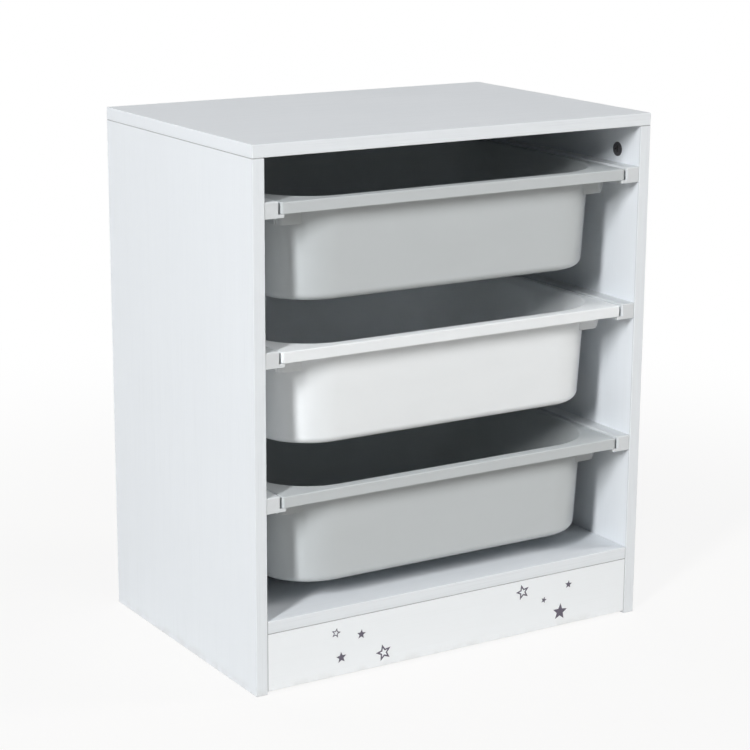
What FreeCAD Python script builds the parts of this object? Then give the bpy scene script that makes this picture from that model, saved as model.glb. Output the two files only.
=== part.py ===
import FreeCAD, Part
import os
from FreeCAD import Placement, Rotation, Vector

os.makedirs("parts", exist_ok=True)

# Children's storage unit with three sliding bins.
# Millimetres. +X is to the right, -Y to the front, +Z up, with the origin on the floor under
# the middle of the cabinet.

# Cabinet
cabinet_width = 460.0
cabinet_depth = 310.0
cabinet_height = 536.0
board = 12.7
edge_round = 0.8
front_recess = 0.4
plinth_height = 59.0
plinth_floor_gap = 3.0
back_board = 3.0
back_setback = 6.0
groove_depth = 5.0

# Clearances and the overrun of cuts
fit_play = 0.1
groove_play = 0.2
hole_end_play = 0.5
overrun = 2.0
level_tolerance_share = 0.01

# Cam joints: a bolt in one board, pulled in by a cam in the face of the other
cam_diameter = 15.0
cam_depth = 10.0
cam_setback = 28.0
cam_play = 0.3
cam_slot_width = 1.2
cam_slot_length = 7.5
cam_slot_depth = 1.2
bolt_bore = 7.0
bolt_thread_diameter = 5.0
bolt_thread_length = 9.5
bolt_collar_diameter = 6.8
bolt_collar_length = 1.5
bolt_shank_diameter = 4.8
bolt_neck_diameter = 3.4
bolt_neck_length = 3.5
bolt_head_diameter = 6.2
bolt_head_length = 3.0
joint_setback = 37.0
dowel_spacing = 32.0
dowel_diameter = 6.0
dowel_deep = 20.0
dowel_shallow = 8.5
dowel_chamfer = 0.6

# Nails that hold the back board to the shelf
nail_diameter = 1.6
nail_length = 20.0
nail_head_diameter = 4.0
nail_head_length = 0.6
nail_place_shares = (-0.4, -0.13, 0.13, 0.4)

# Bins and their places
bin_levels = ("bottom", "middle", "top")
bin_height = 102.0
bin_bottom_gap = 20.5
bin_top_gap = 42.7
bin_front_setback = 0.6
bin_back_gap = 2.0
bin_side_gap = 2.8
bin_run_gap = 0.3
bin_wall = 2.0
lip_height = 11.0
lip_wall = 2.0
lip_corner = 3.0
lip_arris = 1.2
side_rim = 6.0
end_rim = 11.0
tub_corner = 62.0
tub_draft = 6.0
tub_floor_round = 8.0
opening_round = 1.5
under_rim_round = 1.5
guide_setback = 15.0
guide_length = 30.0
guide_drop = 13.0
guide_inset = 16.0
guide_corner = 8.0
guide_wall = 1.6
gusset_reach = 7.5

# Runners that carry the bins, and their screws
runner_width = 15.0
runner_rise = 1.2
runner_wall = 2.0
runner_round = 1.2
runner_front_setback = 0.8
runner_back_gap = 2.0
ledge_width = 21.0
ledge_thickness = 3.2
boss_diameter = 9.6
screw_shank_diameter = 3.2
screw_head_diameter = 6.8
screw_head_length = 2.4
screw_crown_share = 0.7
screw_head_sink = 3.0
screw_grip = 9.0
screw_point_length = 2.0
screw_point_diameter = 0.8
screw_place_shares = (-0.42, 0.0, 0.42)
cross_width = 0.9
cross_length = 4.0
cross_depth = 1.4

# Places worked out from the sizes above
half_width = cabinet_width / 2
half_depth = cabinet_depth / 2
inner_half_width = half_width - board
top_underside = cabinet_height - board
front_face = -half_depth + front_recess
shelf_bottom = plinth_floor_gap + plinth_height
shelf_top = shelf_bottom + board
back_rear_face = half_depth - back_setback
back_front_face = back_rear_face - back_board

lowest_bin_top = shelf_top + bin_bottom_gap + bin_height
highest_bin_top = top_underside - bin_top_gap
bin_pitch = (highest_bin_top - lowest_bin_top) / (len(bin_levels) - 1)
bin_front = -half_depth + bin_front_setback
bin_back = back_front_face - bin_back_gap
bin_length = bin_back - bin_front
bin_middle = (bin_front + bin_back) / 2

runner_inner_face = inner_half_width - runner_width
runner_front = -half_depth + runner_front_setback
runner_back = back_front_face - runner_back_gap
runner_length = runner_back - runner_front
runner_middle = (runner_front + runner_back) / 2
flange_half_width = runner_inner_face - bin_side_gap
runner_top_from_bin_top = runner_rise
ledge_top_from_bin_top = -lip_height - bin_run_gap
runner_height = runner_top_from_bin_top - ledge_top_from_bin_top + ledge_thickness


def box(x0, x1, y0, y1, z0, z1):
    """A box between two values on each axis."""
    return Part.makeBox(x1 - x0, y1 - y0, z1 - z0, Vector(x0, y0, z0))


def cylinder(diameter, length, base, direction):
    """A round bar of a diameter, from its base point along a direction."""
    return Part.makeCylinder(diameter / 2, length, base, direction)


def turned(profile):
    """A solid turned round the Z axis from (radius, height) points."""
    points = [Vector(radius, 0, height) for radius, height in profile]
    face = Part.Face(Part.makePolygon(points + points[:1]))
    return face.revolve(Vector(0, 0, 0), Vector(0, 0, 1), 360)


def rounded_outline(half_x, half_y, radius, height):
    """A closed rectangle with round corners, centred on the Z axis at a height."""
    corners = ((1, -1), (1, 1), (-1, 1), (-1, -1))
    diagonal = radius / 2 ** 0.5
    edges = []
    joints = []
    for sign_x, sign_y in corners:
        centre = Vector(sign_x * (half_x - radius), sign_y * (half_y - radius), height)
        along_x = centre + Vector(0, sign_y * radius, 0)
        along_y = centre + Vector(sign_x * radius, 0, 0)
        middle = centre + Vector(sign_x * diagonal, sign_y * diagonal, 0)
        first, last = (along_x, along_y) if sign_x * sign_y < 0 else (along_y, along_x)
        joints.append((first, middle, last))
    for index, (first, middle, last) in enumerate(joints):
        following = joints[(index + 1) % len(joints)][0]
        edges.append(Part.Arc(first, middle, last).toShape())
        edges.append(Part.makeLine(last, following))
    return Part.Wire(edges)


def tapered_block(half_x, half_y, radius, top, bottom, draft):
    """A round-cornered block that narrows by the draft from its top down to its bottom."""
    lower = rounded_outline(half_x - draft, half_y - draft, radius - draft, bottom)
    upper = rounded_outline(half_x, half_y, radius, top)
    return Part.makeLoft([lower, upper], True, True)


def edges_at_height(shape, height):
    """The edges of a shape that lie in one level plane."""
    tolerance = edge_round * level_tolerance_share
    level = []
    for edge in shape.Edges:
        limits = edge.BoundBox
        if abs(limits.ZMin - height) < tolerance and abs(limits.ZMax - height) < tolerance:
            level.append(edge)
    return level


def upright_edges(shape):
    """The straight edges of a shape that stand upright."""
    standing = []
    for edge in shape.Edges:
        limits = edge.BoundBox
        if limits.ZLength > limits.XLength + limits.YLength:
            standing.append(edge)
    return standing


def fused(shapes):
    """One solid from shapes that overlap or meet."""
    return shapes[0].fuse(shapes[1:]).removeSplitter()


def save(name, shape):
    """Write one node as parts/NAME.step."""
    shape.exportStep("parts/" + name + ".step")


# Boards
def edged_board(x0, x1, y0, y1, z0, z1):
    """A melamine board whose edge bands are slightly rounded."""
    blank = box(x0, x1, y0, y1, z0, z1)
    return blank.makeFillet(edge_round, blank.Edges)


def top_panel():
    """The top, laid over both sides, with a groove for the back board."""
    panel = edged_board(-half_width, half_width, -half_depth, half_depth, top_underside, cabinet_height)
    groove_half_length = inner_half_width + groove_depth
    groove = box(-groove_half_length, groove_half_length, back_front_face - groove_play,
                 back_rear_face + groove_play, top_underside - overrun, top_underside + groove_depth)
    return panel.cut(groove)


def side_panel(side):
    """A side, from the floor to the top panel, grooved for the back board; side is -1 or 1."""
    panel = edged_board(inner_half_width, half_width, -half_depth, half_depth, 0, top_underside)
    groove = box(inner_half_width - overrun, inner_half_width + groove_depth,
                 back_front_face - groove_play, back_rear_face + groove_play,
                 -overrun, top_underside + overrun)
    return mirrored(panel.cut(groove), side)


def bottom_shelf():
    """The shelf between the sides, over the plinth, up to the back board."""
    return edged_board(-inner_half_width, inner_half_width, front_face, back_front_face,
                       shelf_bottom, shelf_top)


def plinth_panel():
    """The plinth under the front of the shelf, held off the floor by its gap."""
    return edged_board(-inner_half_width, inner_half_width, front_face, front_face + board,
                       plinth_floor_gap, shelf_bottom)


def back_panel():
    """The thin back board, held in the grooves of the sides and the top."""
    half_length = inner_half_width + groove_depth - groove_play
    return box(-half_length, half_length, back_front_face, back_rear_face,
               shelf_bottom, top_underside + groove_depth - groove_play)


def mirrored(shape, side):
    """The shape as it is for the right side, or mirrored for the left."""
    if side > 0:
        return shape
    return shape.mirror(Vector(0, 0, 0), Vector(1, 0, 0))


# Joints between boards. Each is drawn with the meeting faces at height zero: the bored board
# hangs below, the cam opens towards +X, and the bolt goes up into the other board.
def joint_place(position, opening, direction):
    """The place of a joint whose cam opens one way and whose bolt points another."""
    return Placement(position, Rotation(opening, direction.cross(opening), direction, "ZXY"))


def joint_places():
    """The places of the joints by name, each with the pair of boards that it holds."""
    up = Vector(0, 0, 1)
    back = Vector(0, 1, 0)
    shelf_height = (shelf_bottom + shelf_top) / 2
    plinth_depth = front_face + board / 2
    plinth_half_height = (plinth_floor_gap + shelf_bottom) / 2
    along_cams = (joint_setback - half_depth, back_front_face - joint_setback)
    along_dowels = (along_cams[0] + dowel_spacing, along_cams[1] - dowel_spacing)
    cams = []
    dowels = []
    for side, side_name in ((-1, "left_side_panel"), (1, "right_side_panel")):
        outward = Vector(side, 0, 0)
        for places, depths in ((cams, along_cams), (dowels, along_dowels)):
            for depth in depths:
                top_joint = Vector(side * (half_width - board / 2), depth, top_underside)
                places.append((joint_place(top_joint, -outward, up), side_name, "top_panel"))
                shelf_joint = Vector(side * inner_half_width, depth, shelf_height)
                places.append((joint_place(shelf_joint, -up, outward), "bottom_shelf", side_name))
        for places, height in ((cams, plinth_half_height + dowel_diameter),
                               (dowels, plinth_half_height - dowel_diameter - cam_diameter / 2)):
            plinth_joint = Vector(side * inner_half_width, plinth_depth, height)
            places.append((joint_place(plinth_joint, back, outward), "plinth_panel", side_name))
    return cams, dowels


def bolt_outline(play):
    """Half the outline of a cam bolt, made fatter and longer by a play."""
    head_end = -cam_setback - bolt_head_length / 2 - play
    neck_start = -cam_setback + bolt_head_length / 2 + play
    shank_end = neck_start + bolt_neck_length - play * 2
    thread_radius = bolt_thread_diameter / 2 + play
    collar_radius = bolt_collar_diameter / 2 + play
    shank_radius = bolt_shank_diameter / 2 + play
    neck_radius = bolt_neck_diameter / 2 + play
    head_radius = bolt_head_diameter / 2 + play
    return ((0, head_end), (head_radius, head_end), (head_radius, neck_start), (neck_radius, neck_start),
            (neck_radius, shank_end), (shank_radius, shank_end), (shank_radius, -bolt_collar_length),
            (collar_radius, -bolt_collar_length), (collar_radius, 0), (thread_radius, 0),
            (thread_radius, bolt_thread_length + play), (0, bolt_thread_length + play))


def cam_bolt():
    """A bolt with a thread for one board and a head that its cam draws in."""
    return turned(bolt_outline(0))


def cam_lock():
    """A cam drum with a slot for the bolt's head and neck and a cross recess in its face."""
    face = board / 2
    drum = cylinder(cam_diameter - fit_play * 2, cam_depth - fit_play,
                    Vector(face - cam_depth + fit_play, 0, -cam_setback), Vector(1, 0, 0))
    outline = bolt_outline(cam_play)
    head_radius = outline[1][0]
    neck_radius = outline[3][0]
    shank_radius = outline[5][0]
    head_end = outline[1][1]
    neck_start = outline[3][1]
    shank_end = outline[5][1]
    behind = face - cam_depth - overrun
    for radius, low, high in ((head_radius, head_end, neck_start), (neck_radius, neck_start, shank_end),
                              (shank_radius, shank_end, 0)):
        drum = drum.cut(box(behind, radius, -radius, radius, low, high))
    half_length = cam_slot_length / 2
    half_slot = cam_slot_width / 2
    slot_floor = face - cam_slot_depth
    along_y = box(slot_floor, face + overrun, -half_length, half_length,
                  -cam_setback - half_slot, -cam_setback + half_slot)
    along_z = box(slot_floor, face + overrun, -half_slot, half_slot,
                  -cam_setback - half_length, -cam_setback + half_length)
    return drum.cut([along_y, along_z])


def cam_cuts():
    """What a cam joint takes out of the bored board, and out of the board that its bolt enters."""
    pocket = cylinder(cam_diameter, cam_depth + overrun,
                      Vector(board / 2 - cam_depth, 0, -cam_setback), Vector(1, 0, 0))
    bore = cylinder(bolt_bore, cam_setback + overrun, Vector(0, 0, -cam_setback), Vector(0, 0, 1))
    thread_hole = cylinder(bolt_thread_diameter + fit_play, bolt_thread_length + hole_end_play + overrun,
                           Vector(0, 0, -overrun), Vector(0, 0, 1))
    return pocket.fuse(bore), thread_hole


def dowel():
    """A wooden dowel with its ends bevelled."""
    blank = cylinder(dowel_diameter, dowel_deep + dowel_shallow, Vector(0, 0, -dowel_deep), Vector(0, 0, 1))
    rims = edges_at_height(blank, -dowel_deep) + edges_at_height(blank, dowel_shallow)
    return blank.makeChamfer(dowel_chamfer, rims)


def dowel_cut():
    """The hole of a dowel through both boards."""
    length = dowel_deep + dowel_shallow + hole_end_play * 2
    return cylinder(dowel_diameter + fit_play * 2, length,
                    Vector(0, 0, -dowel_deep - hole_end_play), Vector(0, 0, 1))


def placed(shape, place):
    """A copy of a shape, moved to a place."""
    copy = shape.copy()
    copy.Placement = place
    return copy


def board_joints():
    """The cams, bolts and dowels in place, and the cuts that each board needs for them."""
    cam_places, dowel_places = joint_places()
    pocket, thread_hole = cam_cuts()
    hole = dowel_cut()
    cuts = {}
    for place, bored, entered in cam_places:
        cuts.setdefault(bored, []).append(placed(pocket, place))
        cuts.setdefault(entered, []).append(placed(thread_hole, place))
    for place, bored, entered in dowel_places:
        cuts.setdefault(bored, []).append(placed(hole, place))
        cuts.setdefault(entered, []).append(placed(hole, place))
    cams = [placed(cam_lock(), place) for place, bored, entered in cam_places]
    bolts = [placed(cam_bolt(), place) for place, bored, entered in cam_places]
    dowels = [placed(dowel(), place) for place, bored, entered in dowel_places]
    return cams, bolts, dowels, cuts


# Nails through the back board into the shelf's rear edge
def nail_places():
    """The points on the back board's rear face where its nails stand."""
    height = (shelf_bottom + shelf_top) / 2
    return [Vector(cabinet_width * share, back_rear_face, height) for share in nail_place_shares]


def back_nails():
    """The nails, each a thin shank with a flat head against the back board."""
    forward = Vector(0, -1, 0)
    nails = []
    for point in nail_places():
        shank = cylinder(nail_diameter, nail_length, point, forward)
        head = cylinder(nail_head_diameter, nail_head_length, point, Vector(0, 1, 0))
        nails.append(fused([shank, head]))
    return nails


def nail_holes():
    """The holes of the nails in the back board and the shelf."""
    forward = Vector(0, -1, 0)
    length = nail_length + hole_end_play
    return [cylinder(nail_diameter + fit_play, length, point, forward) for point in nail_places()]


# Bins. A bin is drawn with its rim's top at height zero, centred on the Z axis.
def bin_flange():
    """The bin's rim: a plate with a lip turned down all round."""
    half_length = bin_length / 2
    outer = box(-flange_half_width, flange_half_width, -half_length, half_length, -lip_height, 0)
    outer = outer.makeFillet(lip_corner, upright_edges(outer))
    outer = outer.makeFillet(lip_arris, edges_at_height(outer, 0))
    under = box(-flange_half_width + lip_wall, flange_half_width - lip_wall,
                -half_length + lip_wall, half_length - lip_wall, -lip_height - overrun, -bin_wall)
    inside_corner = lip_corner - lip_wall
    return outer.cut(under.makeFillet(inside_corner, upright_edges(under)))


def tub_block(wall, top, bottom, floor_round):
    """The tub's body with its floor edge rounded; the wall is what lies outside its hollow."""
    half_x = flange_half_width - side_rim - opening_round + wall
    half_y = bin_length / 2 - end_rim - opening_round + wall
    block = tapered_block(half_x, half_y, tub_corner + wall, top, bottom, tub_draft)
    return block.makeFillet(floor_round, edges_at_height(block, bottom))


def corner_block(x0, x1, y0, y1, z0, z1, corner):
    """A box whose upright edge at its right front corner is rounded."""
    block = box(x0, x1, y0, y1, z0, z1)
    shown = []
    for edge in upright_edges(block):
        limits = edge.BoundBox
        if limits.XMin > x0 + corner and limits.YMax < y1 - corner:
            shown.append(edge)
    return block.makeFillet(corner, shown)


def guide_pocket():
    """The guide round the tub's front right corner: a thin pocket and a gusset to the lip."""
    outer_face = flange_half_width - guide_inset
    front = -bin_length / 2 + guide_setback
    back = front + guide_length
    bottom = -lip_height - guide_drop
    inner_face = flange_half_width - side_rim - tub_corner
    walls = corner_block(inner_face, outer_face, front, back, bottom, -bin_wall, guide_corner)
    hollow = corner_block(inner_face - overrun, outer_face - guide_wall, front + guide_wall,
                          back - guide_wall, bottom - overrun, -bin_wall, guide_corner - guide_wall)
    lip_inner_face = flange_half_width - lip_wall
    gusset_tip = outer_face + gusset_reach
    gusset_front = front + guide_corner
    corners = [Vector(outer_face - guide_wall / 2, gusset_front, bottom + guide_wall),
               Vector(outer_face, gusset_front, bottom + guide_wall),
               Vector(gusset_tip, gusset_front, -lip_height),
               Vector(gusset_tip, gusset_front, -bin_wall - lip_wall),
               Vector(lip_inner_face, gusset_front, -bin_wall),
               Vector(outer_face - guide_wall / 2, gusset_front, -bin_wall)]
    gusset = Part.Face(Part.makePolygon(corners + corners[:1])).extrude(Vector(0, guide_wall, 0))
    return walls.cut(hollow).fuse(gusset)


def storage_bin():
    """A bin: flange, tub and two guides in one moulding, rounded where the tub meets the rim."""
    outer = tub_block(bin_wall, -bin_wall / 2, -bin_height, tub_floor_round)
    inner = tub_block(0, overrun, -bin_height + bin_wall, tub_floor_round - bin_wall)
    shell = fused([bin_flange(), outer])
    shell = shell.makeFillet(under_rim_round, tub_edges(shell, -bin_wall)).cut(inner)
    shell = shell.makeFillet(opening_round, tub_edges(shell, 0))
    guide = guide_pocket().cut(outer)
    return fused([shell, guide, mirrored(guide, -1)])


def tub_edges(shell, height):
    """The edges at a height that run round the tub, inside the rim's middle line."""
    round_tub = []
    for edge in edges_at_height(shell, height):
        limits = edge.BoundBox
        reach_x = max(abs(limits.XMin), abs(limits.XMax))
        reach_y = max(abs(limits.YMin), abs(limits.YMax))
        if reach_x < flange_half_width - side_rim / 2 and reach_y < (bin_length - end_rim) / 2:
            round_tub.append(edge)
    return round_tub


# Runners. A runner is drawn for the right side, with its bin's rim top at height zero.
def runner_screw_places():
    """The points on the runner's inner face where its screws go in."""
    height = runner_top_from_bin_top - (runner_height - ledge_thickness) / 2
    places = []
    for share in screw_place_shares:
        places.append(Vector(runner_inner_face, runner_middle + runner_length * share, height))
    return places


def runner():
    """A moulded runner: a hollow rail against the side panel, with a ledge under the bin's lip."""
    bottom = runner_top_from_bin_top - runner_height
    ledge_top = bottom + ledge_thickness
    ledge_edge = inner_half_width - ledge_width
    rail = box(runner_inner_face, inner_half_width, runner_front, runner_back, bottom,
               runner_top_from_bin_top)
    ledge = box(ledge_edge, inner_half_width, runner_front, runner_back, bottom, ledge_top)
    rail = rail.makeFillet(runner_round, runner_round_edges(rail))
    hollow = box(runner_inner_face + runner_wall, inner_half_width + overrun,
                 runner_front + runner_wall, runner_back - runner_wall,
                 ledge_top, runner_top_from_bin_top - runner_wall)
    outward = Vector(1, 0, 0)
    bosses = []
    bores = []
    for point in runner_screw_places():
        bosses.append(cylinder(boss_diameter, runner_width, point, outward))
        bores.append(cylinder(screw_shank_diameter + fit_play * 2, runner_width + overrun, point, outward))
        bores.append(cylinder(screw_head_diameter + fit_play * 2, screw_head_sink, point, outward))
    shell = fused([rail, ledge]).cut(hollow)
    return fused([shell] + bosses).cut(bores)


def runner_round_edges(rail):
    """The edges of the rail that show: the inner top edge and those round its front end."""
    shown = []
    for edge in rail.Edges:
        limits = edge.BoundBox
        on_wall = limits.XMin > inner_half_width - runner_round
        inner_top = limits.XMax < runner_inner_face + runner_round and limits.ZMin > 0
        at_front = limits.YMax < runner_front + runner_round and limits.ZMax > 0
        if inner_top or (at_front and not on_wall):
            shown.append(edge)
    return shown


def runner_screw():
    """A pan-head screw with a cross recess, drawn upwards from under its head."""
    head_radius = screw_head_diameter / 2
    shank_radius = screw_shank_diameter / 2
    length = runner_width - screw_head_sink + screw_grip
    screw = turned(((0, -screw_head_length), (head_radius * screw_crown_share, -screw_head_length),
                    (head_radius, -screw_head_length / 2), (head_radius, 0), (shank_radius, 0),
                    (shank_radius, length - screw_point_length),
                    (screw_point_diameter / 2, length), (0, length)))
    half_length = cross_length / 2
    half_cross = cross_width / 2
    top = -screw_head_length - overrun
    floor = -screw_head_length + cross_depth
    return screw.cut([box(-half_length, half_length, -half_cross, half_cross, top, floor),
                      box(-half_cross, half_cross, -half_length, half_length, top, floor)])


def runner_screws(bin_top, side):
    """The screws of one runner, in place."""
    screws = []
    for point in runner_screw_places():
        seat = point + Vector(screw_head_sink, 0, bin_top)
        screw = placed(runner_screw(), Placement(seat, Rotation(Vector(0, 1, 0), 90)))
        screws.append(mirrored(screw, side))
    return screws


def runner_screw_holes(bin_top, side):
    """The pilot holes of one runner's screws in its side panel."""
    holes = []
    for point in runner_screw_places():
        mouth = Vector(inner_half_width - overrun, point.y, point.z + bin_top)
        hole = cylinder(screw_shank_diameter + fit_play, screw_grip + hole_end_play + overrun,
                        mouth, Vector(1, 0, 0))
        holes.append(mirrored(hole, side))
    return holes


def build():
    """Build every node and write it."""
    cams, bolts, dowels, cuts = board_joints()
    sides = (("left", -1), ("right", 1))
    screws = []
    for index, level in enumerate(bin_levels):
        bin_top = lowest_bin_top + bin_pitch * index
        lift = Vector(0, 0, bin_top)
        save("bin_" + level, storage_bin().translated(Vector(0, bin_middle, bin_top)))
        for side_name, side in sides:
            save("runner_" + side_name + "_" + level, mirrored(runner().translated(lift), side))
            screws += runner_screws(bin_top, side)
            cuts[side_name + "_side_panel"] += runner_screw_holes(bin_top, side)
    cuts["bottom_shelf"] += nail_holes()
    boards = {"top_panel": top_panel(), "left_side_panel": side_panel(-1),
              "right_side_panel": side_panel(1), "bottom_shelf": bottom_shelf(),
              "plinth_panel": plinth_panel()}
    for name, panel in boards.items():
        save(name, panel.cut(cuts[name]))
    save("back_panel", back_panel().cut(nail_holes()))
    save("cam_locks", Part.makeCompound(cams))
    save("cam_bolts", Part.makeCompound(bolts))
    save("dowels", Part.makeCompound(dowels))
    save("back_nails", Part.makeCompound(back_nails()))
    save("runner_screws", Part.makeCompound(screws))


build()
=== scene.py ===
"""Looks of a children's storage unit with three sliding bins.

Metres. +X is to the right, -Y to the front and +Z up, with the origin on the floor under the
middle of the cabinet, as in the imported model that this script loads.
"""

from __future__ import annotations

import logging
import math
from dataclasses import dataclass
from enum import Enum

import bmesh
import bpy
from mathutils import Matrix, Vector

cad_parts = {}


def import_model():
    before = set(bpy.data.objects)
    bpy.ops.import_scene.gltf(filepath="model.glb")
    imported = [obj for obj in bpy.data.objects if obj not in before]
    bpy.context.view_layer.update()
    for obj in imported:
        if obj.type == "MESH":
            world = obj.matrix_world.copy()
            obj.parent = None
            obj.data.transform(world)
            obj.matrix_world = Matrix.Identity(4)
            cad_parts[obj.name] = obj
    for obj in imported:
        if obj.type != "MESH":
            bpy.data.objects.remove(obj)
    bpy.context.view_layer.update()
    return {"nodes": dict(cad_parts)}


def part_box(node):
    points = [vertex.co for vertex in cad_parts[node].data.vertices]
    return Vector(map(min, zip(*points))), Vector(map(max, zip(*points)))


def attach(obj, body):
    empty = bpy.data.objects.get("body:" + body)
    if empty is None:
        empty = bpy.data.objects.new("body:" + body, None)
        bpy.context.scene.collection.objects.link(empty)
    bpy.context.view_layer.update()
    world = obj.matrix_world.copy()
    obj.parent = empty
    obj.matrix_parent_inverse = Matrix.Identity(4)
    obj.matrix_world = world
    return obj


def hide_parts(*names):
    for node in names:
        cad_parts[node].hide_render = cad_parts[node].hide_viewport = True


log = logging.getLogger("storage_unit")

Colour = tuple[float, float, float]
Numbers = tuple[float, ...]
WHITE_LIGHT = (1.0, 1.0, 1.0, 1.0)


class Axis(Enum):
    """The direction in which a grain runs."""

    X = 0
    Y = 1
    Z = 2


class StarStyle(Enum):
    """How a printed star is filled."""

    SOLID = "solid"
    OUTLINE = "outline"


# Shader graph


@dataclass(frozen=True)
class Field:
    """What a shader node puts out, with arithmetic that adds Math nodes."""

    graph: "Graph"
    socket: bpy.types.NodeSocket

    def __add__(self, other: "Field | float") -> "Field":
        """The sum."""
        return self.graph.math("ADD", self, other)

    def __radd__(self, other: float) -> "Field":
        """The sum, with the number first."""
        return self.graph.math("ADD", other, self)

    def __sub__(self, other: "Field | float") -> "Field":
        """The difference."""
        return self.graph.math("SUBTRACT", self, other)

    def __rsub__(self, other: float) -> "Field":
        """The difference, with the number first."""
        return self.graph.math("SUBTRACT", other, self)

    def __mul__(self, other: "Field | float") -> "Field":
        """The product."""
        return self.graph.math("MULTIPLY", self, other)

    def __rmul__(self, other: float) -> "Field":
        """The product, with the number first."""
        return self.graph.math("MULTIPLY", other, self)

    def __pow__(self, other: float) -> "Field":
        """The power."""
        return self.graph.math("POWER", self, other)

    def __abs__(self) -> "Field":
        """The size without its sign."""
        return self.graph.math("ABSOLUTE", self, 0.0)

    def most(self, other: "Field | float") -> "Field":
        """The larger of the two."""
        return self.graph.math("MAXIMUM", self, other)

    def rise(self, low: float, high: float) -> "Field":
        """A smooth step of the field.

        Args:
            low: where the step leaves its start.
            high: where it reaches its end; below low, the step falls.

        Returns:
            A field from 0 to 1.
        """
        ends = (low, high, 0.0, 1.0) if low < high else (high, low, 1.0, 0.0)
        return self.graph.node(
            "ShaderNodeMapRange",
            {"interpolation_type": "SMOOTHSTEP"},
            {"Value": self, "From Min": ends[0], "From Max": ends[1], "To Min": ends[2], "To Max": ends[3]},
        )


class Graph:
    """The node tree of one material or world."""

    def __init__(self, owner: bpy.types.Material | bpy.types.World) -> None:
        """Start an empty tree.

        Args:
            owner: the material or the world that the tree belongs to.
        """
        self.owner = owner
        self.owner.use_nodes = True
        self.tree = self.owner.node_tree
        self.tree.nodes.clear()

    @classmethod
    def material(cls, name: str) -> "Graph":
        """Start the tree of a new material."""
        return cls(bpy.data.materials.new(name))

    @classmethod
    def world(cls, name: str) -> "Graph":
        """Start the tree of a new world."""
        return cls(bpy.data.worlds.new(name))

    def node(
        self,
        kind: str,
        settings: dict[str, object] | None = None,
        inputs: dict[str | int, object] | None = None,
        output: str | int = 0,
    ) -> Field:
        """Add a node.

        Args:
            kind: Blender's name for the node's type.
            settings: its properties, which are set first.
            inputs: the value of, or the field that feeds, each socket.
            output: which of its outputs to return.

        Returns:
            The chosen output.
        """
        made = self.tree.nodes.new(kind)
        for name, value in (settings or {}).items():
            setattr(made, name, value)
        for name, value in (inputs or {}).items():
            if isinstance(value, Field):
                self.tree.links.new(value.socket, made.inputs[name])
            else:
                made.inputs[name].default_value = value
        return Field(self, made.outputs[output] if made.outputs else None)

    def math(self, operation: str, first: Field | float, second: Field | float) -> Field:
        """Add a Math node.

        Args:
            operation: Blender's name for what it does.
            first: its first value.
            second: its second value.

        Returns:
            The result.
        """
        return self.node("ShaderNodeMath", {"operation": operation}, {0: first, 1: second})

    def place(self, scale: Numbers = (1.0, 1.0, 1.0), shift: Numbers = (0.0, 0.0, 0.0)) -> Field:
        """The point on the piece, in object coordinates, scaled and then shifted.

        Args:
            scale: how many pattern units a metre holds along each axis.
            shift: how far the pattern is moved, in its own units.

        Returns:
            The point as a vector.
        """
        point = self.node("ShaderNodeTexCoord", output="Object")
        return self.node("ShaderNodeMapping", inputs={"Vector": point, "Location": shift, "Scale": scale})

    def seen(self) -> Field:
        """Tell the rays that end in the picture from those that only carry light.

        Returns:
            1 for the camera's own rays, for reflections and for what shows through, and 0 for light.
        """
        kinds = ("Camera", "Glossy", "Transmission")
        own, glossy, through = [self.node("ShaderNodeLightPath", output=f"Is {kind} Ray") for kind in kinds]
        return own.most(glossy).most(through)

    def axes(self) -> tuple[Field, Field, Field]:
        """Split the point on the piece into its coordinates.

        Returns:
            X, Y and Z, in metres.
        """
        point = self.place()
        split = "ShaderNodeSeparateXYZ"
        return tuple(self.node(split, inputs={"Vector": point}, output=axis) for axis in "XYZ")

    def noise(
        self, point: Field, detail: float = 2.0, roughness: float = 0.5, distortion: float = 0.0
    ) -> Field:
        """Cloudy noise.

        Args:
            point: where it is read, in units of its largest clouds.
            detail: how many finer layers it has.
            roughness: how strong they are.
            distortion: how far it is pulled about.

        Returns:
            A field of about 0.2 to 0.8.
        """
        settings = {"noise_dimensions": "3D"}
        inputs = {"Vector": point, "Scale": 1.0, "Detail": detail, "Roughness": roughness}
        return self.node("ShaderNodeTexNoise", settings, {**inputs, "Distortion": distortion})

    def blend(self, share: Field, first: Field | Colour, second: Field | Colour) -> Field:
        """Mix two colours.

        Args:
            share: how much of the second is taken.
            first: the colour at 0.
            second: the colour at 1.

        Returns:
            The mixed colour.
        """
        ends = [end if isinstance(end, Field) else (*end, 1.0) for end in (first, second)]
        return self.node(
            "ShaderNodeMix",
            {"data_type": "RGBA", "clamp_factor": True},
            {0: share, 6: ends[0], 7: ends[1]},
            output=2,
        )

    def relief(self, height: Field, depth: float) -> Field:
        """A bumped normal.

        Args:
            height: the relief, from 0 to 1.
            depth: how deep 1 is, in metres.

        Returns:
            The normal.
        """
        return self.node("ShaderNodeBump", inputs={"Height": height, "Distance": depth, "Strength": 1.0})

    def surface(self, inputs: dict[str | int, object]) -> bpy.types.Material:
        """Close the graph with the shader.

        Args:
            inputs: what the shader's sockets are given.

        Returns:
            The finished material.
        """
        return self.close(self.node("ShaderNodeBsdfPrincipled", inputs=inputs))

    def close(self, shader: Field) -> bpy.types.Material | bpy.types.World:
        """Feed a shader to the output.

        Args:
            shader: what the surface, or the world, shows.

        Returns:
            The finished material or world.
        """
        kind = "Material" if isinstance(self.owner, bpy.types.Material) else "World"
        self.node(f"ShaderNodeOutput{kind}", inputs={"Surface": shader})
        return self.owner


# Finishes


def toned(colour: Colour, tone: float) -> Colour:
    """The colour, darker where the tone is below 1 and lighter above it."""
    return tuple(part * tone for part in colour)


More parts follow.
